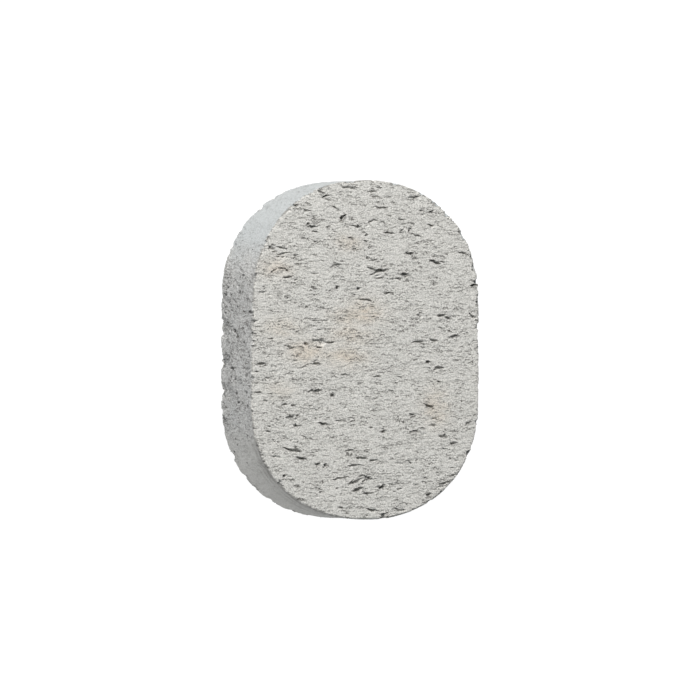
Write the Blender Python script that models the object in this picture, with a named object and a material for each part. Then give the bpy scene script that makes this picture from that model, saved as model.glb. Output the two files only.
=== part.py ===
"""A natural pumice stone, cut to a long oval block with a flat front and a flat back.

The stone lies on its back face. X runs across it, Y along it and Z up through it, in metres, and
the origin is the middle of the face that it rests on. Gas bubbles that were drawn out along X while
the lava was soft are cut open by every face: as slits on the front, the back and the two ends, and
as round pores on the long side walls.
"""

import math
import random

import bmesh
import bpy
from mathutils import Euler, Matrix, Vector

MM = 0.001

# Driving dimensions
LENGTH = 95.0 * MM
WIDTH = 68.4 * MM
THICKNESS = 25.0 * MM
END_DEPTH = 33.5 * MM  # how much of the length each rounded end takes
END_FULLNESS = 2.15  # 2 makes each end half an ellipse, and more makes it squarer
EDGE_BREAK = 0.45 * MM  # the worn corner between each face and the side wall
SAW_WOBBLE = 0.22 * MM  # how far the sawn outline wanders inwards
OUTLINE_POINTS = 88

# The bubbles
REST_CLEAR = 7.0 * MM  # no bubble opens this near the middle of the back face
FRONT_BUBBLES = 76  # small ones scattered over the front, between the large ones
BACK_BUBBLES = 100
WALL_BUBBLES = 90
EDGE_CHIPS = 26  # bubbles that the two rims cut through
BUBBLE_GAP = 0.5 * MM  # the least stone left between two scattered bubbles
UNEVENNESS = 0.16  # how uneven a bubble's wall is, as a share of its size
SMALL_BUBBLE_SIDES = 7
SEED = 41

STONE_COLOUR = (0.53, 0.52, 0.485, 1.0)

# The large bubbles of the front face, chosen by eye, in millimetres and degrees:
# (x, y, length, height, tilt)
LARGE_BUBBLES = (
    (-14.9, 34.6, 5.0, 1.5, -8),
    (-26.4, 28.0, 5.6, 1.2, 0),
    (-25.2, 22.5, 5.2, 1.1, 4),
    (-9.4, 23.5, 4.8, 1.1, -5),
    (-6.4, 36.6, 1.7, 1.3, 0),
    (-5.0, 45.0, 3.6, 1.0, 0),
    (4.9, 39.7, 3.6, 0.8, 0),
    (12.0, 33.0, 4.4, 1.5, 6),
    (13.2, 26.8, 2.8, 1.1, 0),
    (4.4, 21.6, 6.0, 2.2, -3),
    (-0.4, 14.0, 4.0, 1.1, 0),
    (21.0, 24.3, 2.7, 1.1, -20),
    (29.2, 27.1, 2.5, 1.1, 0),
    (33.0, 19.0, 2.6, 1.5, 0),
    (22.6, 9.5, 2.0, 1.4, 0),
    (32.0, 9.2, 2.6, 1.1, -20),
    (-33.4, 10.2, 2.4, 1.5, 0),
    (-32.9, 7.8, 1.9, 1.2, 10),
    (-17.5, 1.7, 1.5, 1.4, 0),
    (-13.6, 2.6, 4.8, 2.6, 0),
    (-9.6, 2.2, 2.3, 1.0, 0),
    (16.0, 2.3, 3.0, 1.0, 0),
    (-30.6, -3.9, 2.7, 1.1, 0),
    (22.0, -5.0, 2.8, 1.1, 15),
    (-14.4, -11.3, 3.3, 1.0, 0),
    (-9.9, -12.8, 1.6, 1.1, 0),
    (19.5, -15.8, 2.7, 1.1, -15),
    (-21.2, -18.4, 3.2, 1.1, 0),
    (-12.3, -20.7, 2.5, 1.0, 0),
    (20.0, -21.0, 2.0, 1.3, 0),
    (14.9, -22.6, 2.6, 1.0, 0),
    (23.6, -24.4, 3.2, 1.2, -12),
    (-20.4, -27.7, 6.0, 1.6, 2),
    (-18.4, -30.4, 2.8, 1.0, 0),
    (-14.0, -31.9, 1.7, 1.3, 0),
    (-11.4, -32.1, 1.5, 1.1, 0),
    (-1.0, -30.0, 3.6, 0.9, 0),
    (3.1, -30.9, 3.4, 0.9, 0),
    (-7.5, -35.3, 3.0, 1.1, 0),
    (-1.9, -36.3, 6.6, 1.9, 18),
    (-1.7, -39.2, 3.8, 1.5, 30),
    (5.4, -38.3, 2.3, 1.7, 0),
    (18.9, -40.2, 1.5, 1.3, 0),
    (22.6, -36.6, 2.8, 1.1, 10),
    (2.1, -44.6, 3.2, 1.1, 0),
)


def clear_scene():
    for obj in list(bpy.data.objects):
        bpy.data.objects.remove(obj, do_unlink=True)


def new_collection(name):
    made = bpy.data.collections.new(name)
    bpy.context.scene.collection.children.link(made)
    return made


def signed_power(value, power):
    return math.copysign(abs(value) ** power, value)


def saw_wobble(turn):
    """How far the outline is worn in at this angle, from 0 to SAW_WOBBLE."""
    slow = math.sin(3 * turn + 0.6) + 0.7 * math.sin(7 * turn + 2.1)
    quick = 0.5 * math.sin(13 * turn + 4.0) + 0.4 * math.sin(23 * turn + 1.3)
    return SAW_WOBBLE * (0.5 + 0.19 * (slow + quick))


def outline(turn):
    """A point of the outline: straight sides between two ends that are each half a superellipse."""
    worn = saw_wobble(turn)
    power = 2 / END_FULLNESS
    straight = LENGTH / 2 - END_DEPTH
    x = (WIDTH / 2 - worn) * signed_power(math.cos(turn), power)
    y = (END_DEPTH - worn) * signed_power(math.sin(turn), power)
    return Vector((x, y + math.copysign(straight, math.sin(turn)), 0))


def outward(turn):
    """The level direction straight out of the side wall."""
    step = 0.01
    along = outline(turn + step) - outline(turn - step)
    return Vector((along.y, -along.x, 0)).normalized()


def pumice_material():
    made = bpy.data.materials.new("pumice")
    made.use_nodes = True
    shader = made.node_tree.nodes["Principled BSDF"]
    shader.inputs["Base Color"].default_value = STONE_COLOUR
    shader.inputs["Roughness"].default_value = 0.95
    shader.inputs["Metallic"].default_value = 0.0
    made.diffuse_color = STONE_COLOUR
    return made


def sawn_block(collection):
    """The oval block before its bubbles: a flat outline, thickened, with its edges worn."""
    curve = bpy.data.curves.new("oval", "CURVE")
    curve.dimensions = "2D"
    curve.fill_mode = "BOTH"
    curve.extrude = THICKNESS / 2 - EDGE_BREAK
    curve.bevel_depth = EDGE_BREAK
    curve.bevel_resolution = 0
    curve.offset = -EDGE_BREAK
    spline = curve.splines.new("POLY")
    spline.points.add(OUTLINE_POINTS - 1)
    for i, point in enumerate(spline.points):
        # Half a step in, so that no point falls where the two halves of the outline meet.
        turn = 2 * math.pi * (i + 0.5) / OUTLINE_POINTS
        point.co = (*outline(turn), 1)
    spline.use_cyclic_u = True
    guide = bpy.data.objects.new("oval_guide", curve)
    guide.location = (0, 0, THICKNESS / 2)
    collection.objects.link(guide)
    bpy.context.view_layer.update()

    graph = bpy.context.evaluated_depsgraph_get()
    mesh = bpy.data.meshes.new_from_object(guide.evaluated_get(graph), depsgraph=graph)
    stone = bpy.data.objects.new("pumice_stone", mesh)
    stone.matrix_world = guide.matrix_world
    collection.objects.link(stone)
    bpy.data.objects.remove(guide)

    bm = bmesh.new()
    bm.from_mesh(mesh)
    bmesh.ops.remove_doubles(bm, verts=bm.verts, dist=1e-6)
    flat = math.radians(0.5)
    bmesh.ops.dissolve_limit(bm, angle_limit=flat, verts=bm.verts, edges=bm.edges)
    bmesh.ops.recalc_face_normals(bm, faces=bm.faces)
    bm.to_mesh(mesh)
    bm.free()
    mesh.materials.clear()
    mesh.materials.append(pumice_material())
    return stone


def add_cutter(collection, bm, place, size, tilt, chance):
    """Makes a cutter of this unit shape: uneven, sized, tilted about Z and put in its place."""
    for vertex in bm.verts:
        vertex.co *= 1 + chance.uniform(-UNEVENNESS, UNEVENNESS)
    sized = Matrix.Diagonal((*size, 1))
    tilted = Matrix.Rotation(math.radians(tilt), 4, "Z")
    bmesh.ops.transform(bm, matrix=Matrix.Translation(place) @ tilted @ sized, verts=bm.verts)
    bmesh.ops.recalc_face_normals(bm, faces=bm.faces)
    mesh = bpy.data.meshes.new("bubble")
    bm.to_mesh(mesh)
    bm.free()
    cutter = bpy.data.objects.new("bubble", mesh)
    cutter.hide_render = True
    cutter.display_type = "WIRE"
    collection.objects.link(cutter)


def large_bubble(collection, place, size, tilt, chance):
    """A rounded hollow: a ball, stretched along X."""
    bm = bmesh.new()
    bmesh.ops.create_icosphere(bm, subdivisions=2, radius=0.5)
    twist = Euler([chance.uniform(0, math.tau) for _ in range(3)]).to_matrix()
    bmesh.ops.rotate(bm, matrix=twist, verts=bm.verts)
    add_cutter(collection, bm, place, size, tilt, chance)


def small_bubble(collection, place, size, tilt, chance, out):
    """A pointed hollow: a cone with its open end out along this direction. It costs few faces."""
    bm = bmesh.new()
    bmesh.ops.create_cone(
        bm, cap_ends=True, segments=SMALL_BUBBLE_SIDES, radius1=0.0, radius2=0.75, depth=1.5
    )
    spin = Matrix.Rotation(chance.uniform(0, math.tau), 3, "Z")
    bmesh.ops.rotate(bm, matrix=spin, verts=bm.verts)
    towards = out.to_track_quat("Z", "Y").to_matrix()
    bmesh.ops.rotate(bm, matrix=towards, verts=bm.verts)
    add_cutter(collection, bm, place, size, tilt, chance)


def large_bubbles(collection, chance):
    """The named bubbles of the front face. Returns where they are, to keep others off them."""
    taken = []
    for x, y, length, height, tilt in LARGE_BUBBLES:
        depth = min(2.2, 1.6 * height)
        place = Vector((x * MM, y * MM, THICKNESS))
        size = Vector((length, height, depth)) * MM
        large_bubble(collection, place, size, tilt, chance)
        taken.append((place, 0.5 * length * MM))
    return taken


def has_room(place, reach, taken):
    return all((place - other).length > reach + wide + BUBBLE_GAP for other, wide in taken)


def scatter(collection, chance, count, taken, draw):
    """Cuts count small bubbles where draw() puts them, each clear of the ones before it."""
    tries = 40 * count
    while count and tries:
        tries -= 1
        place, size, tilt, reach, out = draw(chance)
        if has_room(place, reach, taken):
            small_bubble(collection, place, size, tilt, chance, out)
            taken.append((place, reach))
            count -= 1


def slit_size(chance):
    """A drawn-out bubble: longest along X, and a little deeper than it is tall."""
    tall = chance.uniform(0.9, 1.5) * MM
    return Vector((chance.uniform(1.9, 4.4) * MM, tall, chance.uniform(1.2, 1.9) * tall))


def round_the_outline(chance, openness=lambda turn: 1.0):
    """A point anywhere on the outline, and its angle. openness(angle) is how likely it is kept."""
    turns = [math.tau * (i + 0.5) / OUTLINE_POINTS for i in range(OUTLINE_POINTS)]
    sides = [(turn, turn + math.tau / OUTLINE_POINTS) for turn in turns]
    lengths = [(outline(after) - outline(before)).length for before, after in sides]
    while True:
        before, after = chance.choices(sides, lengths)[0]
        share = chance.random()
        if chance.random() < openness(before):
            return outline(before).lerp(outline(after), share), before + share * (after - before)


def face_draw(height, out):
    """Draws a slit on the flat face at this height, whose outward direction is out."""

    def draw(chance):
        place, _ = round_the_outline(chance)
        place *= 0.96 * math.sqrt(chance.random())
        place.z = height
        size = slit_size(chance)
        return place, size, chance.gauss(0, 7), 0.45 * size.x, out

    return draw


def wall_draw(chance):
    """Draws a bubble that the side wall cuts open: end-on at the sides, lengthwise at the ends."""
    # The long sides are the most open, and the ends of the oval the least.
    place, turn = round_the_outline(chance, lambda turn: 0.3 + 0.7 * math.cos(turn) ** 2)
    margin = 2.2 * MM
    place.z = chance.uniform(margin, THICKNESS - margin)
    wide = chance.uniform(1.0, 1.9) * MM
    size = Vector((chance.uniform(1.8, 2.8) * MM, wide, wide * chance.uniform(0.8, 1.1)))
    return place, size, chance.gauss(0, 5), 0.5 * wide, outward(turn)


def chip_draw(chance):
    """Draws a bubble that the rim of the front or the back cuts through."""
    place, turn = round_the_outline(chance)
    out = Vector((0, 0, chance.choice((-1, 1))))
    place.z = THICKNESS if out.z > 0 else 0.0
    size = slit_size(chance) * 0.8
    return place, size, chance.gauss(0, 7), 0.5 * size.x, (out + outward(turn)).normalized()


def main():
    clear_scene()
    parts = new_collection("pumice_stone")
    cutters = new_collection("bubble_cutters")
    cutters.hide_render = True
    chance = random.Random(SEED)

    stone = sawn_block(parts)
    up = Vector((0, 0, 1))
    taken = large_bubbles(cutters, chance)
    taken.append((Vector((0, 0, 0)), REST_CLEAR))
    scatter(cutters, chance, EDGE_CHIPS, taken, chip_draw)
    scatter(cutters, chance, FRONT_BUBBLES, taken, face_draw(THICKNESS, up))
    scatter(cutters, chance, BACK_BUBBLES, taken, face_draw(0.0, -up))
    scatter(cutters, chance, WALL_BUBBLES, taken, wall_draw)

    opened = stone.modifiers.new("open_bubbles", "BOOLEAN")
    opened.operation = "DIFFERENCE"
    opened.operand_type = "COLLECTION"
    opened.collection = cutters
    opened.solver = "EXACT"


main()
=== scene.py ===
# %% [markdown]
# # A pumice stone
# Pumice is lava that froze while it was frothing. This stone was sawn from a block to a long oval
# with two flat faces. It lies on its back face: X runs across it, Y along it, and Z up through it.
# The gas bubbles were drawn out along X while the lava flowed, so the faces cut them open as slits
# and the long sides cut them end-on, as round pores.
#
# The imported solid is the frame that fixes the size. It could be shown with a rough material on it,
# but its flat facets and few bubbles would give it away. So one fine mesh takes its place.

# %% Load the frame
import itertools
import math

import bmesh
import bpy
import numpy as np
from mathutils import Matrix, Vector, kdtree


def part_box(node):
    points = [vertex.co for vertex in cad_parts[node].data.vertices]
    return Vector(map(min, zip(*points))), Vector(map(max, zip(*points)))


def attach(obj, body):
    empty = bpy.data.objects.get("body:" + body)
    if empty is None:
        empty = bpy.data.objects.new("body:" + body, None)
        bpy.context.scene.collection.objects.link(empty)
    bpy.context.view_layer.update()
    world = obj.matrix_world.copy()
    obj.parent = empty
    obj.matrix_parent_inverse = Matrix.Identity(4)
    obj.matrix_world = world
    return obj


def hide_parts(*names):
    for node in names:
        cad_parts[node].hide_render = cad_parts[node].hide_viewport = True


MM = 0.001
NODE = "pumice_stone"
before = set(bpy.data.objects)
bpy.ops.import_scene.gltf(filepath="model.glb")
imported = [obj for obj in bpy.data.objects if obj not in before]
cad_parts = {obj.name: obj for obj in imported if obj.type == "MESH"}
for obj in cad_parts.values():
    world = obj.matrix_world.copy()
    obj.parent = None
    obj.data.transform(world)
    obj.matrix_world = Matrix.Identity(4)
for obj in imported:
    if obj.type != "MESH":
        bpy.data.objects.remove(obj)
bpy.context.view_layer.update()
low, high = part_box(NODE)
print("block in mm:", [round((b - a) / MM, 2) for a, b in zip(low, high)])

# %% [markdown]
# ## The camera
# The stone lies on its back, and the camera looks down on the front face from 20 degrees to the
# left of straight above, so the left side wall shows as a narrow band. A long lens from far away
# keeps the wall the same width all the way along. A closer, wider lens would have made the near
# edge bulge.

# %% Camera
TURN = math.radians(20)
CAMERA_DISTANCE = 2.5
VIEW_HEIGHT = 195.6 * MM  # how much of the scene the view takes in, at the stone
SENSOR = 36.0

aim = Vector((0, 0, (low[2] + high[2]) / 2))
right = Vector((math.cos(TURN), 0, math.sin(TURN)))
up = Vector((0, 1, 0))
back = right.cross(up)
camera_data = bpy.data.cameras.new("camera")
camera_data.sensor_width = SENSOR
camera_data.lens = SENSOR * CAMERA_DISTANCE / VIEW_HEIGHT
camera = bpy.data.objects.new("camera", camera_data)
turned = Matrix((right, up, back)).transposed().to_4x4()
camera.matrix_world = Matrix.Translation(aim + CAMERA_DISTANCE * back) @ turned
bpy.context.scene.collection.objects.link(camera)
bpy.context.scene.camera = camera
print("lens in mm:", round(camera_data.lens))

# %% [markdown]
# ## The sawn block
# The stone was sawn, so its faces are flat and its wall is straight. The outline is two straight
# sides between two rounded ends. Each end is half a superellipse, which is an ellipse made a little
# squarer by its power. A slightly wandering radius keeps it from looking machined. A filled curve
# would give the same slab, but with long thin faces that can't be pushed in point by point. So the
# outline is thickened and bevelled as a mesh, and then remeshed into small even faces.
#
# All the bubbles are long along X, so the mesh needs more points across them than along them. The
# block is squeezed along X before the remesh and stretched back after it, and its faces come out
# long in the same direction as the bubbles. This works in millimetres, because the voxels are small.

# %% Outline
LENGTH = 95.0
WIDTH = 68.4
THICKNESS = (high[2] - low[2]) / MM
END_DEPTH = 33.5
END_FULLNESS = 2.15
SAW_WOBBLE = 0.22
INSET = 0.03  # keeps every point inside the frame's box
OUTLINE_POINTS = 400


def signed_power(value, power):
    return math.copysign(abs(value) ** power, value)


def saw_wobble(turn):
    slow = math.sin(3 * turn + 0.6) + 0.7 * math.sin(7 * turn + 2.1)
    quick = 0.5 * math.sin(13 * turn + 4.0) + 0.4 * math.sin(23 * turn + 1.3)
    return SAW_WOBBLE * (0.5 + 0.19 * (slow + quick))


def outline(turn):
    worn = saw_wobble(turn) + INSET
    power = 2 / END_FULLNESS
    x = (WIDTH / 2 - worn) * signed_power(math.cos(turn), power)
    y = (END_DEPTH - worn) * signed_power(math.sin(turn), power)
    return x, y + math.copysign(LENGTH / 2 - END_DEPTH, math.sin(turn))


turns = [math.tau * (i + 0.5) / OUTLINE_POINTS for i in range(OUTLINE_POINTS)]
print("outline points:", len(turns))

# %% Block
EDGE_BREAK = 0.35
SQUEEZE = 0.45
VOXEL = 0.17


def new_object(name, mesh):
    made = bpy.data.objects.new(name, mesh)
    bpy.context.scene.collection.objects.link(made)
    return made


def with_modifiers(obj, name):
    """The mesh that obj's modifiers make, as a new mesh. obj is removed."""
    graph = bpy.context.evaluated_depsgraph_get()
    made = bpy.data.meshes.new_from_object(obj.evaluated_get(graph), depsgraph=graph)
    made.name = name
    bpy.data.objects.remove(obj)
    return made


bm = bmesh.new()
ring = [bm.verts.new((*outline(turn), INSET)) for turn in turns]
base = bm.faces.new(ring)
grown = bmesh.ops.extrude_face_region(bm, geom=[base])
lifted = [item for item in grown["geom"] if isinstance(item, bmesh.types.BMVert)]
bmesh.ops.translate(bm, verts=lifted, vec=(0, 0, THICKNESS - 2 * INSET))
rims = [edge for edge in bm.edges if abs(edge.verts[0].co.z - edge.verts[1].co.z) < EDGE_BREAK]
bmesh.ops.bevel(bm, geom=rims, offset=EDGE_BREAK, segments=2, affect="EDGES")
bmesh.ops.recalc_face_normals(bm, faces=bm.faces)
bmesh.ops.scale(bm, vec=(SQUEEZE, 1, 1), verts=bm.verts)
slab_mesh = bpy.data.meshes.new("slab")
bm.to_mesh(slab_mesh)
bm.free()
slab = new_object("slab", slab_mesh)
remesh = slab.modifiers.new("even_faces", "REMESH")
remesh.mode = "VOXEL"
remesh.voxel_size = VOXEL
block = with_modifiers(slab, "block")
block.transform(Matrix.Diagonal((1 / SQUEEZE, 1, 1, 1)))
print("faces after the remesh:", len(block.polygons))

# %% [markdown]
# ## Noise
# No two places on a natural stone are alike, and everything uneven on this one comes from one
# function. It puts a random number at each corner of a grid and blends smoothly between them. The
# grid's cells can be long in one direction, so the noise can be drawn out as the bubbles are.
# mathutils has a noise too, but it takes one point at a time, and this one takes them all at once.
# Seeded draws make the grid and scatter the small bubbles, so each run gives the same stone.

# %% Noise
SEED = 11
LATTICE_SIDE = 64
chance = np.random.default_rng(SEED)
LATTICE = chance.uniform(-1, 1, (LATTICE_SIDE,) * 3)


def eased(share):
    """A share from 0 to 1, made to start and to end softly."""
    return share * share * (3 - 2 * share)


def noise(points, cell, shift):
    """A smooth random number from -1 to 1 for each point.

    cell is the grain of the noise in X, Y and Z. Another shift gives another noise.
    """
    place = points / np.array(cell) + shift
    corner = np.floor(place).astype(int)
    part = eased(place - corner)
    total = np.zeros(len(points))
    for step in itertools.product((0, 1), repeat=3):
        share = np.prod(np.where(step, part, 1 - part), axis=1)
        i, j, k = ((corner + step) % LATTICE_SIDE).T
        total += share * LATTICE[i, j, k]
    return total


print("noise grid:", LATTICE.shape)

# %% [markdown]
# ## The points
# From here on the block is a cloud of points with normals, and each step works on all of them at
# once. The left side wasn't sawn quite square, so it leans in towards the front face, most near the
# upper end. The wall could have been sloped before the remesh, but a shift of the points is simpler,
# and it leaves the outline as it is at the back.

# %% Points and normals
LEAN = 1.0  # the most that the left side leans in, at the front face
LEAN_AT_MIDDLE = 0.6  # the share of it that is left halfway along the stone
LEAN_GROWTH = 60.0  # how far along Y the share takes to grow by 1


def read(items, name):
    """A vector for each item of a mesh."""
    found = np.empty(len(items) * 3, np.float32)
    items.foreach_get(name, found)
    return found.reshape(-1, 3).astype(float)


def lean(x, y, z):
    """How far the left side leans in at this place."""
    left = np.clip(-x / (WIDTH / 2), 0, 1) ** 2
    return LEAN * left * z / THICKNESS * np.clip(LEAN_AT_MIDDLE + y / LEAN_GROWTH, 0, 1)


points = read(block.vertices, "co")
points[:, 0] += lean(*points.T)
normals = read(block.vertices, "normal")
wall_share = 1 - np.abs(normals[:, 2])
end_on = np.abs(normals[:, 0])  # 1 where the surface cuts the bubbles straight across
# The points lie closer together on the long sides, which the stretch along X left as they were.
# A point there gets a smaller share of the chances, so that what is scattered doesn't crowd there.
spread = SQUEEZE * end_on + 1 - end_on
print("points:", len(points))

# %% [markdown]
# ## The bubbles
# Each bubble is an ellipsoid, and most are longest along X. Where a point of the surface is inside
# one, the stone is missing there, so the point sinks along its normal until it meets the bubble's
# far wall. That is one quadratic equation for each point. Cutting with Booleans would give the same
# holes, but thousands of them would be slow.
#
# The large bubbles of the front face and the left side are listed one by one. Each of the longer slits
# of the front face gets two smaller ones that tear its outline. Two thousand small ones are scattered
# in patches, which leave the rubbed ends of the side wall nearly bare.

# %% Large bubbles of the front face
# Listed: x, y, length and height in millimetres, and tilt in degrees.
LARGE_BUBBLES = (
    # the top end
    (-13.1, 44.0, 2.7, 0.5, -10),
    (-5.0, 45.2, 3.6, 0.7, 0),
    (2.2, 44.1, 2.4, 0.4, 0),
    (3.1, 42.6, 1.8, 0.4, -5),
    (15.6, 42.6, 2.4, 0.7, -10),
    (-21.0, 40.2, 1.8, 0.8, -30),
    (4.9, 39.7, 3.6, 0.4, 0),
    (-17.4, 38.7, 1.5, 0.5, -10),
    (16.8, 38.8, 1.2, 0.6, 0),
    (19.2, 38.6, 1.5, 0.6, 5),
    (-6.5, 36.7, 1.5, 1.2, 20),
    (10.9, 36.4, 2.1, 0.4, 0),
    (1.9, 35.6, 1.5, 0.6, 10),
    # a ragged group near the top left
    (-16.5, 34.9, 1.5, 0.8, -20),
    (-15.3, 34.2, 2.4, 0.7, 0),
    (-14.7, 32.8, 1.8, 0.4, -20),
    (-2.8, 34.4, 3.6, 0.4, -8),
    (19.8, 34.5, 1.8, 0.7, -20),
    (10.6, 33.2, 1.5, 0.6, 20),
    (13.2, 33.2, 1.5, 0.6, 30),
    (7.3, 32.5, 2.7, 0.4, -15),
    (15.3, 31.9, 2.7, 0.4, -15),
    (-4.3, 31.2, 1.8, 0.6, 0),
    # the torn group by the left edge
    (-27.2, 29.1, 1.2, 0.4, -20),
    (-27.6, 28.0, 2.7, 1.0, -8),
    (-24.7, 28.2, 3.5, 0.5, -6),
    (-23.8, 26.7, 4.0, 0.6, 15),
    (-20.3, 26.2, 1.4, 0.7, 0),
    # an arched slit under it
    (-26.6, 22.2, 2.0, 0.5, 25),
    (-24.7, 22.6, 2.4, 0.5, 0),
    (-22.9, 22.1, 1.8, 0.4, -25),
    (-22.7, 20.2, 3.4, 0.6, 12),
    (-20.5, 19.3, 0.9, 0.6, 0),
    # a small peaked slit
    (-9.4, 23.3, 1.5, 0.7, 30),
    (-7.6, 23.6, 2.0, 0.5, -10),
    # the widest group, right of the middle
    (1.0, 25.6, 1.0, 0.7, 0),
    (2.4, 22.5, 3.0, 0.5, -17),
    (5.0, 22.1, 3.2, 1.1, -8),
    (3.4, 21.6, 2.8, 0.5, 12),
    (4.3, 20.0, 2.1, 0.4, -5),
    (6.6, 19.8, 1.2, 0.4, 0),
    (9.8, 19.8, 2.8, 0.5, 4),
    (11.8, 21.1, 2.3, 1.0, 0),
    (7.0, 16.0, 3.6, 0.4, 5),
    (13.2, 26.8, 2.5, 0.8, 0),
    (15.0, 25.4, 1.8, 0.7, -30),
    (21.0, 24.3, 2.5, 0.9, -20),
    (29.2, 27.1, 2.4, 0.8, 0),
    (33.4, 19.0, 2.2, 1.4, 0),
    # across the middle
    (-2.0, 17.0, 1.1, 1.0, 0),
    (-8.2, 17.3, 1.1, 1.0, 0),
    (-0.4, 14.0, 3.6, 0.6, 0),
    (22.6, 9.5, 1.9, 1.1, 0),
    (32.3, 9.2, 2.5, 0.8, -20),
    (-33.4, 10.2, 1.8, 1.2, 0),
    (-32.9, 7.8, 1.9, 1.0, 10),
    (-32.6, 4.4, 2.0, 0.6, 5),
    (16.0, 2.3, 3.0, 0.7, 0),
    (20.6, 2.6, 2.1, 0.7, 0),
    (26.0, 3.6, 2.7, 0.7, 0),
    # a shallow bowl with a deep dot beside it
    (-14.0, 2.0, 4.8, 1.9, 0),
    (-17.5, 1.7, 1.2, 1.0, 0),
    (-10.3, 2.0, 2.1, 0.6, 0),
    (-13.6, 0.7, 2.1, 0.4, 0),
    (-14.1, -3.8, 2.7, 0.4, 0),
    (-30.8, -3.9, 2.7, 0.8, 0),
    (18.6, -3.4, 1.4, 1.0, 0),
    (22.0, -5.0, 2.8, 0.9, 0),
    (3.5, -7.3, 2.2, 0.7, 0),
    # the lower half
    (-31.6, -11.7, 1.8, 0.5, 0),
    (-14.4, -11.3, 3.3, 0.7, 8),
    (-9.9, -12.7, 1.4, 1.0, 0),
    (-29.3, -14.1, 1.8, 0.7, -15),
    (-23.6, -15.1, 1.3, 0.7, 0),
    (19.5, -15.8, 2.6, 0.9, -15),
    (-33.4, -16.9, 1.8, 0.6, -20),
    (-22.0, -18.6, 1.9, 0.6, 10),
    (-20.0, -18.3, 1.2, 0.7, 0),
    (-12.3, -20.7, 2.8, 0.9, -10),
    (-8.0, -19.7, 2.1, 0.7, 0),
    (20.0, -21.0, 1.9, 0.8, 0),
    (14.9, -22.6, 2.5, 0.7, 0),
    (30.7, -20.5, 1.9, 0.8, 0),
    (5.8, -22.7, 1.4, 0.9, -50),
    (23.3, -24.2, 2.6, 0.8, -12),
    (26.2, -26.1, 2.0, 0.8, 0),
    (-20.8, -27.9, 5.6, 0.9, -5),
    (-18.6, -30.2, 2.8, 0.8, 0),
    (-4.3, -27.9, 1.9, 0.7, 0),
    (-1.0, -30.0, 3.6, 0.6, 0),
    (2.9, -30.7, 3.6, 0.6, 0),
    (-14.1, -31.9, 1.7, 0.9, 0),
    (-11.7, -32.1, 1.5, 0.8, 0),
    (-3.1, -32.0, 2.8, 0.6, 0),
    (-23.8, -34.9, 1.3, 1.0, 0),
    # the crossed group near the bottom
    (-7.4, -35.6, 3.0, 0.6, 0),
    (-2.7, -36.6, 5.3, 0.8, 24),
    (1.1, -35.8, 1.8, 0.8, -25),
    (-2.0, -38.9, 3.6, 1.0, 20),
    (0.7, -39.9, 3.9, 0.5, 0),
    (5.0, -38.2, 1.8, 1.1, 0),
    (18.9, -40.5, 1.6, 1.0, 0),
    (23.3, -37.2, 3.0, 0.8, 10),
    (10.6, -44.7, 2.6, 0.6, 0),
    (2.1, -44.7, 3.0, 0.8, -20),
)
SHALLOW = 1.5  # a bubble taller than this was cut near its rim, and is a shallow bowl
BOWL_DEPTH = 0.6
LEAST_DEPTH = 0.9
DEPTH_SHARE = 1.3  # how deep the other bubbles are, as a share of their height
MAIN = 0.85  # the middle bubble's share of the length that the table gives
LONE = 1.5  # a bubble shorter than this has no smaller ones beside it
# The smaller ones beside a slit, as shares of its length and its height.
ALONG = (0.15, 0.5)
OFF_LINE = 0.7
SMALLER_LENGTH = (0.3, 0.75)
SMALLER_HEIGHT = (0.3, 0.6)
TURN_AWAY = 0.25  # in radians


def large_bubbles():
    """Rows of x, y, z, three half sizes and a tilt in radians."""
    for x, y, length, height, tilt in LARGE_BUBBLES:
        turn = math.radians(tilt)
        if height > SHALLOW:
            yield x, y, THICKNESS, length / 2, height / 2, BOWL_DEPTH, turn
            continue
        deep = max(LEAST_DEPTH, DEPTH_SHARE * height)
        yield x, y, THICKNESS, MAIN * length / 2, height / 2, deep, turn
        if length < LONE:
            continue
        for side in (-1, 1):
            off_x = side * chance.uniform(*ALONG) * length
            off_y = math.tan(turn) * off_x + chance.uniform(-OFF_LINE, OFF_LINE) * height
            long = chance.uniform(*SMALLER_LENGTH) * length / 2
            tall = chance.uniform(*SMALLER_HEIGHT) * height / 2
            away = chance.normal(0, TURN_AWAY)
            yield x + off_x, y + off_y, THICKNESS, long, tall, deep, turn + away


front = np.array([*large_bubbles()])
print("large bubbles of the front face:", len(front))

# %% Large bubbles of the left side
# Cut end-on, and listed as y, z, and sizes along Y and Z in millimetres.
SIDE_BUBBLES = (
    (20.8, 15.8, 0.6, 2.4),
    (19.4, 10.5, 0.7, 1.2),
    (15.8, 14.6, 0.9, 1.6),
    (12.1, 3.4, 0.7, 1.2),
    (12.0, 12.7, 0.7, 1.2),
    (10.7, 22.6, 0.9, 3.0),
    (10.4, 4.0, 0.8, 1.4),
    (5.4, 10.5, 1.2, 2.4),
    (2.2, 18.5, 0.7, 1.2),
    (1.9, 10.5, 0.8, 1.2),
    (-2.2, 16.3, 0.7, 1.4),
    (-5.1, 9.2, 1.0, 3.2),
    (-7.2, 20.0, 0.7, 1.6),
    (-7.6, 8.6, 1.2, 1.2),
    (-8.1, 12.0, 0.8, 1.4),
    (-11.8, 20.6, 1.2, 1.6),
    (-12.0, 12.6, 0.9, 1.6),
    (-13.2, 5.8, 0.8, 1.2),
    (-14.6, 14.3, 0.9, 2.0),
    (-15.6, 21.7, 1.0, 1.6),
)
SIDE_DEPTH = 1.2  # half size along X, into the stone


def side_bubbles():
    """Rows of the same form, with their middles in the side wall."""
    for y, z, size_y, size_z in SIDE_BUBBLES:
        past = max(abs(y) - (LENGTH / 2 - END_DEPTH), 0) / END_DEPTH
        x = -WIDTH / 2 * (1 - past**END_FULLNESS) ** (1 / END_FULLNESS)
        yield x + lean(x, y, z), y, z, SIDE_DEPTH, size_y / 2, size_z / 2, 0.0


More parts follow.
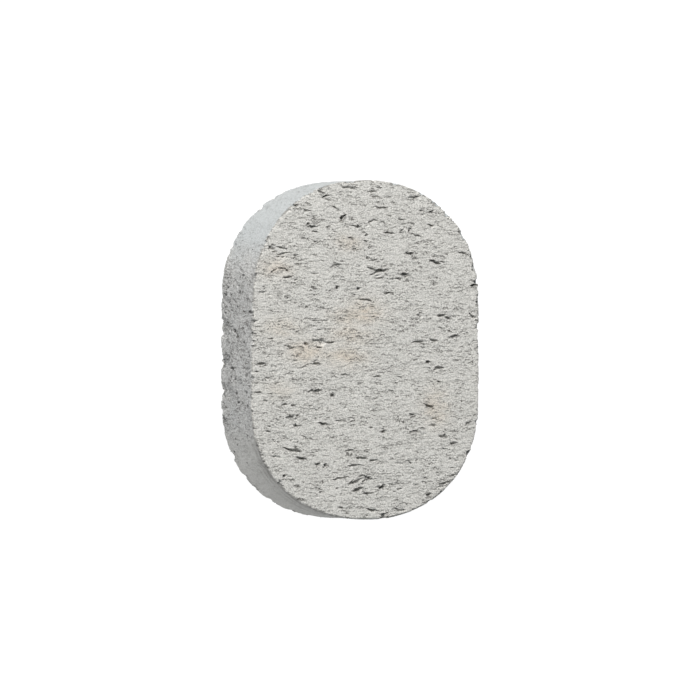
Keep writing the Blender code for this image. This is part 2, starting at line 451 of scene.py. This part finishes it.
left_side = np.array([*side_bubbles()])
print("large bubbles of the left side:", len(left_side))

# %% Rubbed ends
# The rounded ends were rubbed smooth, and the lower one further up the side than the top one.
RUB_START = 1.012  # the wall is rubbed where end_on is less than this
RUB_DOWN = 0.0005  # how much that grows for each millimetre down
RUB_WANDER = 0.02
RUB_CELL = (9.0, 5.0, 5.0)
RUB_SOFT = 0.12  # how gradually the rubbing begins

rub_start = RUB_START - RUB_DOWN * points[:, 1] + RUB_WANDER * noise(points, RUB_CELL, 8.8)
rubbed = eased(np.clip((rub_start - end_on) / RUB_SOFT, 0, 1))
rubbed[wall_share < 0.5] = 0
print("share that is rubbed:", round(float((rubbed > 0.5).mean()), 3))

# %% Small bubbles
SMALL_BUBBLES = 2000
PATCH = (9.0, 6.0, 6.0)  # bubbles crowd together in patches of about this size
CROWDING = (0.06, 1.5)  # between the patches and in them
KEPT_OFF = 0.96  # how much of their chances the rubbed ends lose
TYPICAL = 0.14  # half the height of a typical one
UNEVEN = 0.36  # how much their sizes vary
SMALLEST = 0.08
LARGEST = 0.34
WALL_GROWTH = 0.3  # how much larger they are on the wall
SMALL_LENGTHS = (1.4, 4.2)  # as shares of the height
SMALL_DEPTHS = (1.2, 2.4)
SUNK = (-0.1, 0.5)  # how far in the middle lies, as a share of half the depth
SMALL_TILT = 0.2  # in radians

crowd = np.clip(0.5 + noise(points, PATCH, 3.3), *CROWDING)
weights = spread * crowd * (1 - KEPT_OFF * rubbed)
at = chance.choice(len(points), SMALL_BUBBLES, replace=False, p=weights / weights.sum())
tall = np.clip(chance.lognormal(math.log(TYPICAL), UNEVEN, SMALL_BUBBLES), SMALLEST, LARGEST)
tall *= 1 + WALL_GROWTH * (wall_share[at] > 0.5)
long = tall * chance.uniform(*SMALL_LENGTHS, SMALL_BUBBLES)
thick = tall * chance.uniform(*SMALL_DEPTHS, SMALL_BUBBLES)
sunk = chance.uniform(*SUNK, SMALL_BUBBLES) * thick
centres = points[at] - normals[at] * sunk[:, None]
tilts = chance.normal(0, SMALL_TILT, SMALL_BUBBLES)
small = np.column_stack([centres, long, tall, thick, tilts])
print("small bubbles:", len(small))

# %% [markdown]
# ## Broken edges
# Sawn pumice has no clean edge. Wherever a bubble lies under the edge its thin wall has snapped off,
# so both rims are nibbled all the way round, most where the saw crossed the threads. A few larger
# notches are listed one by one on the long sides, and a row of them runs round the left half of the
# back rim. A bevel with noise could break the edge as well, but it would look soft and even.
# Chips are ellipsoids like the bubbles, so they have the same sharp lips.

# %% Chips
CHIPS = 950
CHIP = 0.28  # half the size of a typical chip
CHIP_UNEVEN = 0.5
CHIP_SIZES = (0.12, 0.9)
CHIP_HEIGHTS = (0.7, 1.9)  # the size along Y, as a share of the others
RIM_FACING = (0.3, 0.95)  # how squarely up or down the broken edge faces
# How likely a chip is at the lower end of the front rim, and what is added to that elsewhere.
LEAST_LIKELY = 0.1
UPPER_HALF = 0.4
BACK_RIM = 0.6

facing = np.abs(normals[:, 2])
on_rim = (facing > RIM_FACING[0]) & (facing < RIM_FACING[1])
likely = LEAST_LIKELY + end_on**4
likely = likely + UPPER_HALF * (points[:, 1] > 0) + BACK_RIM * (normals[:, 2] < 0)
weights = on_rim * spread * likely
at = chance.choice(len(points), CHIPS, replace=False, p=weights / weights.sum())
size = np.clip(chance.lognormal(math.log(CHIP), CHIP_UNEVEN, CHIPS), *CHIP_SIZES)
taller = chance.uniform(*CHIP_HEIGHTS, CHIPS)
chips = np.column_stack([points[at], size, size * taller, size, np.zeros(CHIPS)])
print("chips:", len(chips))

# %% Notches
NOTCHES = (
    # x, y, z and half sizes along X, Y and Z in millimetres
    (-34.4, 6.3, 2.0, 1.1, 3.2, 9.0),
    (-34.4, -3.2, 1.0, 1.1, 2.6, 8.0),
    (-34.4, -11.5, 2.0, 1.1, 2.6, 9.0),
    (-34.2, 14.5, 1.0, 0.6, 2.0, 7.0),
    (-34.2, -20.5, 1.0, 0.9, 2.4, 6.0),
    (-34.0, 6.3, 0.4, 0.7, 1.5, 2.0),
    (-34.0, -3.2, 0.2, 0.8, 1.0, 1.4),
    (-34.0, -11.9, 0.0, 0.5, 1.0, 1.2),
    (34.0, 6.7, 24.8, 0.9, 1.0, 1.2),
    (34.0, 0.4, 25.0, 0.5, 1.7, 1.0),
    (34.0, -10.1, 25.0, 0.4, 0.9, 0.8),
)
END_NOTCHES = (122, 131, 145, 155, 206, 218, 226, 236, 249)  # places on the outline, in degrees
END_NOTCH = (1.3, 1.3, 3.0)  # half sizes
END_NOTCH_OUT = 1.018  # how far out its centre is, as a share of the outline's reach
END_NOTCH_UP = 1.0  # how far its centre is above the back face

notches = [(*row, 0.0) for row in NOTCHES]
for turn in END_NOTCHES:
    x, y = outline(math.radians(turn))
    notches.append((x * END_NOTCH_OUT, y * END_NOTCH_OUT, END_NOTCH_UP, *END_NOTCH, 0.0))
print("notches:", len(notches))

# %% [markdown]
# ## Cutting
# Now each point sinks to the far wall of the bubble that it is in. Before the test the points are
# shaken by noise, so no bubble comes out as a neat ellipse. Two numbers are kept for each point: how
# deep it went, and how much shade is painted into its colour there. A narrow bubble gets more painted
# shade than a wide one of the same depth, because little light finds its way down.

# %% Shaken points
SHAKES = (
    # cell of the noise in X, Y and Z, and how far it moves a point in each, in millimetres
    ((1.8, 0.9, 0.9), (0.40, 0.14, 0.18)),
    ((0.8, 0.4, 0.4), (0.30, 0.12, 0.09)),
)


def shaken(places):
    """The points moved a little by noise, to make the bubbles ragged."""
    moved = places.copy()
    for number, (cell, reach) in enumerate(SHAKES):
        for axis in range(3):
            moved[:, axis] += reach[axis] * noise(places, cell, 5.1 + 9.7 * axis + 41 * number)
    return moved


ragged = shaken(points)
print("farthest that a point is shaken, in mm:", round(float(np.abs(ragged - points).max()), 2))

# %% Sink the surface into the bubbles
SEARCH_MARGIN = 0.35  # how far past its own size a bubble looks for points
DEEPEST = 1.6
NARROW = 0.6  # light reaches the floor of a bubble whose half height is more than this


def sink(depth, shadow, places, tree, row):
    """Deepens depth where this bubble is open, and the painted shade where it is narrow as well."""
    x, y, z, long, tall, thick, tilt = row
    centre = np.array((x, y, z))
    found = tree.find_range(centre, max(long, tall, thick) + SEARCH_MARGIN)
    near = np.array([index for _, index, _ in found], int)
    if not len(near):
        return
    cos, sin = math.cos(tilt), math.sin(tilt)
    # From the stone's directions to the bubble's own, in which it is a ball of radius 1.
    own = np.array([[cos / long, sin / long, 0], [-sin / tall, cos / tall, 0], [0, 0, 1 / thick]])
    start = (places[near] - centre) @ own.T
    step = -normals[near] @ own.T
    # Along the normal, a * depth^2 + 2 * b * depth + c is 0 where the point meets the ball.
    a = (step**2).sum(axis=1)
    b = (start * step).sum(axis=1)
    c = (start**2).sum(axis=1) - 1
    inside = c < 0
    near, a, b, c = near[inside], a[inside], b[inside], c[inside]
    exit_depth = (-b + np.sqrt(b * b - a * c)) / a
    depth[near] = np.maximum(depth[near], np.minimum(exit_depth, DEEPEST))
    narrow = min(1.0, NARROW / tall) ** 2
    # The light comes from the upper end, so the painted shade is strongest on the upper side of a
    # bubble, and its lower side stays bright.
    upper = np.clip(0.75 + 0.6 * start[inside][:, 1], 0.2, 1.1)
    shadow[near] = np.maximum(shadow[near], narrow * upper * depth[near])


tree = kdtree.KDTree(len(points))
for index, place in enumerate(points):
    tree.insert(place, index)
tree.balance()
depth = np.zeros(len(points))
shadow = np.zeros(len(points))
for row in np.vstack([front, left_side, small, chips, notches]):
    sink(depth, shadow, ragged, tree, row)
print("share of the surface that is open:", round(float((depth > 0.05).mean()), 3))

# %% [markdown]
# ## Threads
# The glass between the bubbles was pulled into threads, and some still cross the larger openings.
# They are noise drawn out along X, slightly slanted, that leaves part of the depth unsunk. Single
# threads could be laid across as thin tubes, but they would be far finer than the mesh.

# %% Threads
THREAD_CELL = (3.0, 0.5, 0.5)
THREAD_SLANT = 0.25  # how far a thread rises for each millimetre along X
THREAD_CONTRAST = 1.7
THREAD_FILLS = 0.35  # the share of a bubble's depth that it takes away
THREAD_BRIGHTENS = 0.2  # the share of the shadow that it takes away

slanted = points - np.outer(points[:, 0], (0, THREAD_SLANT, 0))
crossing = np.clip(THREAD_CONTRAST * noise(slanted, THREAD_CELL, 77.7), 0, 1)
depth *= 1 - THREAD_FILLS * crossing
shadow *= 1 - THREAD_BRIGHTENS * crossing
print("share that a thread covers:", round(float((crossing > 0.5).mean()), 3))

# %% [markdown]
# ## Painted shade at the edge, and grime and painted shade at the lower end
# The broken edge is drawn as a thin dark line of painted shade, so it is kept with the shadows.
# The rubbed lower end is darkened, most of all in streaks and in a band beside the front rim, which
# are partly grime and partly painted shade. A plain darkening grows towards the front face, and
# painted shade covers the lowest part. All of it is only a film, so it is a number on the mesh that
# changes the colour and nothing else.

# %% Painted shade at the edge, grime and painted shade of the lower end
RIM_SHADE_CELL = (1.5, 0.8, 0.8)
MOST_RIM_SHADE = 0.85
BAND = (22.5, 24.5)  # the band grows between these heights above the back face
BAND_CELL = (6.0, 6.0, 0.8)
STREAKED = (13.0, 19.0)  # the streaks grow between these
STREAK_CELL = (7.0, 7.0, 1.0)
STREAK_STRENGTH = 1.1
FRONT_DARKENING = 0.5  # a plain darkening, which grows towards the front face
DARKENING_SPAN = (-12.0, -27.0)  # all of these grow between these places along Y
END_SHADE = 0.38  # painted shade on the lowest part, over the whole depth of the wall
END_SHADE_SPAN = (-28.0, -40.0)  # it grows between these


def ramp(values, start, end):
    """0 at start and 1 at end, in a straight line between them and level past them."""
    return np.clip((values - start) / (end - start), 0, 1)


# A thin line of painted shade along the broken edge, kept with the bubbles' painted shade.
rim_shade = on_rim * np.clip(0.55 + 0.5 * noise(points, RIM_SHADE_CELL, 31.0), 0, MOST_RIM_SHADE)
shadow = np.maximum(shadow, rim_shade)
band = ramp(points[:, 2], *BAND) * (0.6 + 0.5 * noise(points, BAND_CELL, 83.0))
streaks = np.clip(1.8 * noise(points, STREAK_CELL, 91.0) - 0.2, 0, 1)
streaks = STREAK_STRENGTH * streaks * ramp(points[:, 2], *STREAKED)
front_darkening = FRONT_DARKENING * (points[:, 2] / THICKNESS) ** 2
# The band and the streaks are partly grime and partly painted shade, and the second film is painted
# shade.
grime_and_shade = ramp(points[:, 1], *DARKENING_SPAN) * (np.maximum(band, streaks) + front_darkening)
grime_and_shade = rubbed * (grime_and_shade + END_SHADE * ramp(points[:, 1], *END_SHADE_SPAN))
print("share that is darkened:", round(float((grime_and_shade > 0.2).mean()), 3))

# %% [markdown]
# ## Ripples
# Between the bubbles the sawn stone is rippled along X, as the bubbles are. On the rubbed ends of the
# side wall the ripples are faint, and shallow dents that run through the thickness take their place.
# The long sides, which weren't rubbed, are worn into low hollows. All of it is noise that pushes the
# points in, and never out, so the stone stays inside its block.

# %% Ripples
RIPPLES = (
    # cell in X, Y and Z, and how deep it goes, in millimetres
    ((4.5, 2.2, 2.2), 0.08),
    ((1.9, 0.9, 0.9), 0.07),
)
HOLLOW_CELL = (30.0, 3.2, 5.0)
HOLLOW_DEPTH = 0.3
DENT_CELL = (2.6, 2.6, 20.0)
DENT_DEPTH = 0.4
RUBBED_AWAY = 0.75  # the share of the ripples that the rubbing took

ripple = np.zeros(len(points))
for number, (cell, deep) in enumerate(RIPPLES):
    ripple += deep * (0.6 + 0.6 * noise(points, cell, 40 + 7 * number))
hollows = np.clip(0.4 + noise(points, HOLLOW_CELL, 61.0), 0, 1)
ripple += HOLLOW_DEPTH * (1 - rubbed) * end_on**4 * hollows
dents = DENT_DEPTH * rubbed * (0.5 + 0.5 * noise(points, DENT_CELL, 17.0))
depth += ripple * (1 - RUBBED_AWAY * rubbed) + dents
points -= normals * depth[:, None]
print("deepest point in mm:", round(float(depth.max()), 2))

# %% [markdown]
# ## Stains
# Iron in the ash leaves a few faint warm patches. Each is a listed soft oval, and noise breaks it up.
# They are kept on the mesh as a number from 0 to 1 and change only the colour. They could be painted
# on a picture, but that would need a second set of coordinates.

# %% Stains
STAINS = (
    # x, y and half sizes along X and Y in millimetres, and strength
    (0.0, 10.5, 5.0, 3.0, 1.0),
    (-5.0, 9.0, 5.0, 3.0, 0.6),
    (-4.6, 4.2, 6.0, 3.0, 0.6),
    (-6.0, -2.0, 6.0, 2.6, 0.8),
    (-17.5, -0.5, 5.5, 3.0, 0.8),
    (-24.5, 6.0, 5.0, 3.0, 0.5),
    (-5.0, 29.8, 3.5, 2.2, 0.6),
    (-26.0, 22.8, 4.5, 2.6, 0.6),
    (21.0, -16.0, 3.6, 5.0, 0.7),
    (-25.0, -11.0, 4.0, 2.2, 0.4),
)
STAIN_CELL = (1.6, 0.9, 0.9)
BROWN = (-16.0, -24.0)  # the lower end turns brown between these places along Y
BROWNNESS = 0.25

stain = np.zeros(len(points))
for x, y, reach_x, reach_y, strength in STAINS:
    away = ((points[:, 0] - x) / reach_x) ** 2 + ((points[:, 1] - y) / reach_y) ** 2
    stain = np.maximum(stain, strength * np.exp(-away))
stain *= (normals[:, 2] > 0) * np.clip(0.8 + 0.7 * noise(points, STAIN_CELL, 23.0), 0, 1)
# The rubbed lower end is a little brown all over.
stain = np.maximum(stain, BROWNNESS * rubbed * ramp(points[:, 1], *BROWN))
print("share that is stained:", round(float((stain > 0.2).mean()), 3))

# %% [markdown]
# ## One light mesh
# The dense mesh has far more faces than the flat places need. Decimate removes edges where the
# surface is nearly flat and keeps them where it bends, so the rims of the bubbles stay crisp. A
# second remesh with larger voxels would blur them.

# %% Stone mesh
MOST_TRIANGLES = 196_000
SHARP = math.radians(50)

block.vertices.foreach_set("co", points.astype(np.float32).ravel())
marks = {
    # The first mark is painted shade in the bubbles and along the broken edge.
    "painted_shade": shadow,
    "rubbed": rubbed,
    "cut_across": wall_share * end_on**6,
    "stain": stain,
    "grime_and_shade": grime_and_shade,
}
for name, values in marks.items():
    kept = block.attributes.new(name, "FLOAT", "POINT")
    kept.data.foreach_set("value", values.astype(np.float32))
block.transform(Matrix.Scale(MM, 4))
heavy = new_object("heavy", block)
thin = heavy.modifiers.new("fewer_faces", "DECIMATE")
thin.ratio = MOST_TRIANGLES / (2 * len(block.polygons))
stone = new_object("pumice", with_modifiers(heavy, "pumice"))
stone.data.shade_smooth()
stone.data.set_sharp_from_angle(angle=SHARP)
print("triangles:", sum(len(face.vertices) - 2 for face in stone.data.polygons))

# %% [markdown]
# ## The material
# Pumice is volcanic glass blown to a web of thin walls, so it has hardly any gloss. What the eye
# reads as its colour is mostly small shadows: pores too small for the mesh, and a grain of broken
# threads. The bump shades them, and the shadows of the pores are also painted into the colour. Both
# are made from 3D textures in the stone's own millimetres, drawn out along X as the bubbles are. A
# picture wrapped round the stone could give the same marks, but it would smear on the side wall,
# where the same bubbles have to show as round holes.
#
# The pores are used twice, coarse and fine, so they are a node group with named inputs.

# %% Node helpers
def add(tree, kind, settings=None, **inputs):
    """Adds a node. settings are its own properties. inputs are values or sockets to link."""
    node = tree.nodes.new(kind)
    for name, value in (settings or {}).items():
        setattr(node, name, value)
    for name, value in inputs.items():
        key = int(name[1:]) if name[1:].isdigit() else name.replace("_", " ")
        if isinstance(value, bpy.types.NodeSocket):
            tree.links.new(value, node.inputs[key])
        else:
            node.inputs[key].default_value = value
    return node


def calc(tree, operation, first, second=0.0, third=0.0):
    """One step of arithmetic on numbers or sockets."""
    settings = {"operation": operation}
    return add(tree, "ShaderNodeMath", settings, _0=first, _1=second, _2=third).outputs[0]


def smooth_step(tree, value, start, end):
    """0 before start and 1 after end, with a soft change between."""
    settings = {"interpolation_type": "SMOOTHSTEP"}
    return add(
        tree, "ShaderNodeMapRange", settings, Value=value, From_Min=start, From_Max=end
    ).outputs["Result"]


def vector_calc(tree, operation, first, second, third=(0.0, 0.0, 0.0)):
    settings = {"operation": operation}
    node = add(tree, "ShaderNodeVectorMath", settings, _0=first, _1=second, _2=third)
    return node.outputs[0]


def mixed(tree, share, first, second):
    """The first colour, with this share of the second."""
    settings = {"data_type": "RGBA"}
    return add(tree, "ShaderNodeMix", settings, _0=share, _6=first, _7=second).outputs[2]


def noise_at(place, per_mm, detail, roughness=0.6):
    node = add(
        tree, "ShaderNodeTexNoise", Vector=place, Scale=per_mm, Detail=detail, Roughness=roughness
    )
    return node.outputs["Fac"]


def new_group(name, inputs, outputs):
    group = bpy.data.node_groups.new(name, "ShaderNodeTree")
    for in_out, sockets in (("INPUT", inputs), ("OUTPUT", outputs)):
        for socket, kind in sockets.items():
            group.interface.new_socket(socket, in_out=in_out, socket_type="NodeSocket" + kind)
    inside = group.nodes.new("NodeGroupInput").outputs
    outside = group.nodes.new("NodeGroupOutput").inputs
    return group, inside, outside


# %% Foam group
# Each cell of a cell pattern is one bubble that the saw opened, and a share of the cells is held
# back as solid stone. Lid is how far the bubble's floor has dropped, deepest under its upper edge.
# Slit is the thin line of painted shadow under that edge. Hole is the deep middle of a few cells,
# which also gets painted shade. Height rises from the middle of each cell to its edge.
FLATTENED = 0.55  # the bubbles are about twice as deep as they are tall
# Places in a cell: 0 is its middle for the first three, and its edge for the fourth.
LID = (-0.1, 0.4)
SLIT_ABOVE = (0.05, 0.25)
SIDE_FADE = (0.55, 0.25)
SLIT_AT_EDGE = (0.28, 0.1)
HOLE_SOFT = 0.13

foam, inside, outside = new_group(
    "cut foam",
    {
        "Place": "Vector",
        "Drawn Out": "Float",
        "Per Millimetre": "Float",
        "Open": "Float",
        "Holes": "Float",
        "Largest": "Float",
    },
    {"Height": "Float", "Lid": "Float", "Slit": "Float", "Hole": "Float"},
)
squeeze = calc(foam, "DIVIDE", 1.0, inside["Drawn Out"])
squeeze = add(foam, "ShaderNodeCombineXYZ", X=squeeze, Y=1.0, Z=FLATTENED).outputs[0]
along = vector_calc(foam, "MULTIPLY", inside["Place"], squeeze)
scale = {"operation": "SCALE"}
along = add(foam, "ShaderNodeVectorMath", scale, _0=along, Scale=inside["Per Millimetre"]).outputs[0]
cells = add(foam, "ShaderNodeTexVoronoi", Vector=along, Scale=1.0)
edge = add(foam, "ShaderNodeTexVoronoi", {"feature": "DISTANCE_TO_EDGE"}, Vector=along, Scale=1.0)
edge = edge.outputs["Distance"]
# Each cell has three random numbers of its own.
draws = add(foam, "ShaderNodeSeparateColor", Color=cells.outputs["Color"]).outputs
varied = calc(foam, "MULTIPLY_ADD", draws["Green"], 0.6, 0.4)

off = vector_calc(foam, "SUBTRACT", along, cells.outputs["Position"])
off = add(foam, "ShaderNodeSeparateXYZ", Vector=off).outputs
above = off["Y"]
sideways = calc(foam, "ABSOLUTE", off["X"])
opened = calc(foam, "LESS_THAN", draws["Blue"], inside["Open"])
opened = calc(foam, "MULTIPLY", opened, smooth_step(foam, sideways, *SIDE_FADE))
opened = calc(foam, "MULTIPLY", opened, varied)
lid = calc(foam, "MULTIPLY", smooth_step(foam, above, *LID), opened)
slit = calc(foam, "MULTIPLY", smooth_step(foam, above, *SLIT_ABOVE), opened)
slit = calc(foam, "MULTIPLY", smooth_step(foam, edge, *SLIT_AT_EDGE), slit)
held = calc(foam, "LESS_THAN", draws["Red"], inside["Holes"])
size = calc(foam, "MULTIPLY", varied, inside["Largest"])
size = calc(foam, "MULTIPLY", size, held)
within = calc(foam, "SUBTRACT", size, cells.outputs["Distance"])
foam.links.new(cells.outputs["Distance"], outside["Height"])
foam.links.new(lid, outside["Lid"])
foam.links.new(slit, outside["Slit"])
foam.links.new(smooth_step(foam, within, 0.0, HOLE_SOFT), outside["Hole"])
print("group:", foam.name)

# %% Coordinates and masks
BEND = (0.9, 1.7, 1.4)  # how far the pattern is bent, in millimetres

material = bpy.data.materials.new("pumice")
material.use_nodes = True
tree = material.node_tree
shader = tree.nodes["Principled BSDF"]
shader.inputs["Specular IOR Level"].default_value = 0.2

place = add(tree, "ShaderNodeTexCoord").outputs["Object"]
in_mm = vector_calc(tree, "MULTIPLY", place, (1 / MM,) * 3)
# Bends the pattern, so that no pore is a neat oval and no two threads are parallel.
bend = add(tree, "ShaderNodeTexNoise", Vector=in_mm, Scale=0.5, Detail=5.0, Roughness=0.75)
bent = vector_calc(tree, "MULTIPLY_ADD", bend.outputs["Color"], BEND, in_mm)


def attribute(name):
    return add(tree, "ShaderNodeAttribute", {"attribute_name": name}).outputs["Fac"]


rub = attribute("rubbed")
rough = calc(tree, "MULTIPLY_ADD", rub, -0.7, 1.0)
across = attribute("cut_across")
print("marks on the mesh:", ", ".join(marks))

# %% Pores and grain
OPEN = 0.75  # the share of the cells that the saw opened
THREAD_STRETCH = (0.5, 1, FLATTENED)
THREAD_RELIEF = 0.22  # in millimetres
CELL_RELIEF = 0.05


def cut_foam(drawn_out, per_mm, holes, largest):
    node = add(tree, "ShaderNodeGroup", {"node_tree": foam}, Place=bent, Holes=holes)
    node.inputs["Drawn Out"].default_value = drawn_out
    node.inputs["Per Millimetre"].default_value = per_mm
    node.inputs["Open"].default_value = OPEN
    node.inputs["Largest"].default_value = largest
    return node.outputs


# More of the bubbles show their hollow middle on the sides, where they are cut across.
coarse_holes = calc(tree, "MULTIPLY_ADD", across, 0.3, 0.22)
fine_holes = calc(tree, "MULTIPLY_ADD", across, 0.1, 0.3)
coarse = cut_foam(drawn_out=2.2, per_mm=1.05, holes=coarse_holes, largest=0.36)
fine = cut_foam(drawn_out=1.7, per_mm=2.2, holes=fine_holes, largest=0.42)
stretched = vector_calc(tree, "MULTIPLY", bent, THREAD_STRETCH)
threads = noise_at(stretched, per_mm=3.0, detail=3.0, roughness=0.7)
# The openings crowd together in patches, and the stone between the patches is smoother.
patches = noise_at(stretched, per_mm=0.35, detail=2.0)
crowd = calc(tree, "MULTIPLY_ADD", smooth_step(tree, patches, 0.35, 0.65), 0.8, 0.4)

openings = (
    # what drops the surface, and how far, in millimetres
    (coarse["Lid"], 0.46),
    (fine["Lid"], 0.14),
    (coarse["Hole"], 0.12),
    (fine["Hole"], 0.06),
)
opening = 0.0
for dropped, deep in openings:
    opening = calc(tree, "MULTIPLY_ADD", dropped, deep, opening)
height = calc(tree, "MULTIPLY", threads, THREAD_RELIEF)
height = calc(tree, "MULTIPLY_ADD", fine["Height"], CELL_RELIEF, height)
height = calc(tree, "SUBTRACT", height, calc(tree, "MULTIPLY", opening, crowd))
height = calc(tree, "MULTIPLY", height, rough)
bump = add(tree, "ShaderNodeBump", Distance=MM, Strength=1.0, Height=height)
tree.links.new(bump.outputs["Normal"], shader.inputs["Normal"])
print("pores from:", coarse["Lid"].node.node_tree.name)

# %% Painted shadows in the pores
STRAND_STRETCH = (0.35, 1, FLATTENED)
FLECK_STRETCH = (1, 1, 0.4)  # flecks are longest along Z

# Flecks of dust lie on the whole stone, and they break up the finest shadows.
fleck = noise_at(vector_calc(tree, "MULTIPLY", in_mm, FLECK_STRETCH), per_mm=2.5, detail=1.0)
broken = smooth_step(tree, fleck, 0.72, 0.48)
# Each of these darkens the colour as painted shade in the pores.
hole = calc(tree, "MULTIPLY", coarse["Hole"], calc(tree, "MULTIPLY_ADD", across, 0.6, 0.25))
fine_hole = calc(tree, "MULTIPLY", fine["Hole"], 0.25)
slit = calc(tree, "MULTIPLY", coarse["Slit"], calc(tree, "MULTIPLY_ADD", broken, 0.6, 0.4))
fine_slit = calc(tree, "MULTIPLY", fine["Slit"], broken)
dark = hole
for other in (fine_hole, slit, fine_slit):
    dark = calc(tree, "MAXIMUM", dark, other)
dark = calc(tree, "MULTIPLY", dark, calc(tree, "MULTIPLY", rough, crowd))
# Strands of glass cross the deep bubbles and fray the outline of their painted shade.
# This mark is painted shade in the bubbles and along the broken edge.
painted_shade = attribute("painted_shade")
strands = noise_at(vector_calc(tree, "MULTIPLY", in_mm, STRAND_STRETCH), per_mm=1.6, detail=2.0)
deep = calc(tree, "MINIMUM", painted_shade, 0.75)
deep = calc(tree, "ADD", deep, calc(tree, "MULTIPLY_ADD", strands, -2.6, 1.3))
deep = smooth_step(tree, deep, 0.3, 0.8)
# Only the core of the deepest bubbles is painted nearly black as shade.
core = smooth_step(tree, painted_shade, 0.85, 1.25)
deep = calc(tree, "MULTIPLY", deep, calc(tree, "MULTIPLY_ADD", core, 0.28, 0.56))
dark = calc(tree, "MAXIMUM", dark, deep)
print("nodes so far:", len(tree.nodes))

# %% Colour and sheen
STONE = (0.70, 0.686, 0.656, 1.0)
WARM = (0.70, 0.59, 0.47, 1.0)
CUT_ACROSS = (0.515, 0.512, 0.503, 1.0)  # the sides, where the threads show their ends
RUBBED = (0.458, 0.476, 0.48, 1.0)
SHADE_AND_DUST = (0.13, 0.125, 0.115, 1.0)  # painted shade in the pores, and the colour of dust and of the lower end's grime and painted shade
WARMTH = 0.75  # how much of its colour a stain of strength 1 takes over
GRIME_AND_SHADE_SHARE = 0.45

dust = smooth_step(tree, fleck, 0.56, 0.44)
dustiness = calc(tree, "MULTIPLY_ADD", rub, -0.12, 0.26)
dustiness = calc(tree, "MULTIPLY_ADD", across, 0.12, dustiness)
layers = (
    # the share that each colour takes of what is under it
    (across, CUT_ACROSS),
    (rub, RUBBED),
    (calc(tree, "MULTIPLY", attribute("stain"), WARMTH), WARM),
    # the grime and painted shade of the lower end
    (calc(tree, "MULTIPLY", attribute("grime_and_shade"), GRIME_AND_SHADE_SHARE), SHADE_AND_DUST),
    (calc(tree, "MULTIPLY", dust, dustiness), SHADE_AND_DUST),
    # painted shade of the pores and the bubbles
    (dark, SHADE_AND_DUST),
)
colour = STONE
for share, over in layers:
    colour = mixed(tree, share, colour, over)
tree.links.new(colour, shader.inputs["Base Color"])
# Only the rubbed ends and the clean spots have a trace of sheen.
dull = calc(tree, "MULTIPLY_ADD", rub, -0.15, 0.9)
dull = calc(tree, "MULTIPLY_ADD", dust, 0.08, dull)
tree.links.new(dull, shader.inputs["Roughness"])
stone.data.materials.clear()
stone.data.materials.append(material)
print("material:", material.name)

# %% [markdown]
# ## Floor, light and world
# The floor is a light table. It shines white from below and gives back little of the key light, so
# the stone stands on plain white with almost no shadow. The sky is dim, and one softbox high above
# the far end does most of the work: light that rakes along a rough face is what makes its pits
# readable. A bright even sky would fill them and flatten them. A weak wide fill on the left keeps
# the side wall from going dark.

# %% Floor
FLOOR_SIDE = 40.0
FLOOR_GREY = 0.09
FLOOR_GLOW = 0.985

floor_mesh = bpy.data.meshes.new("floor")
bm = bmesh.new()
bmesh.ops.create_grid(bm, x_segments=1, y_segments=1, size=FLOOR_SIDE / 2)
bm.to_mesh(floor_mesh)
bm.free()
floor = new_object("floor", floor_mesh)
table = bpy.data.materials.new("light_table")
table.use_nodes = True
surface = table.node_tree.nodes["Principled BSDF"].inputs
surface["Base Color"].default_value = (FLOOR_GREY, FLOOR_GREY, FLOOR_GREY, 1)
surface["Roughness"].default_value = 1.0
surface["Specular IOR Level"].default_value = 0.0
surface["Emission Color"].default_value = (1, 1, 1, 1)
surface["Emission Strength"].default_value = FLOOR_GLOW
floor_mesh.materials.append(table)
print("floor in metres:", FLOOR_SIDE)

# %% Lights and sky
SKY = (0.85, 0.95, 1.0, 1)
SKY_STRENGTH = 0.22


def area_light(name, towards, size, distance, power, colour=(1, 1, 1)):
    """A round lamp in this direction from the stone. It faces the stone."""
    data = bpy.data.lights.new(name, "AREA")
    data.shape = "DISK"
    data.size = size
    data.energy = power
    data.color = colour
    light = bpy.data.objects.new(name, data)
    direction = Vector(towards).normalized()
    light.location = aim + distance * direction
    light.rotation_euler = direction.to_track_quat("Z", "Y").to_euler()
    bpy.context.scene.collection.objects.link(light)


cream = (1.0, 0.985, 0.96)
area_light("softbox", (-0.2, 0.78, 0.84), size=0.5, distance=1.3, power=20, colour=cream)
area_light("fill", (-1.0, -0.22, 0.3), size=1.0, distance=1.6, power=6.6)
world = bpy.data.worlds.new("studio")
world.use_nodes = True
sky = world.node_tree.nodes["Background"].inputs
sky["Color"].default_value = SKY
sky["Strength"].default_value = SKY_STRENGTH
bpy.context.scene.world = world
bpy.context.scene.view_settings.view_transform = "Standard"
print("lights:", len(bpy.data.lights))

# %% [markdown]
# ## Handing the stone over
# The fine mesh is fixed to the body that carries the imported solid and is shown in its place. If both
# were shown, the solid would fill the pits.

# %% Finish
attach(stone, "root")
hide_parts(NODE)
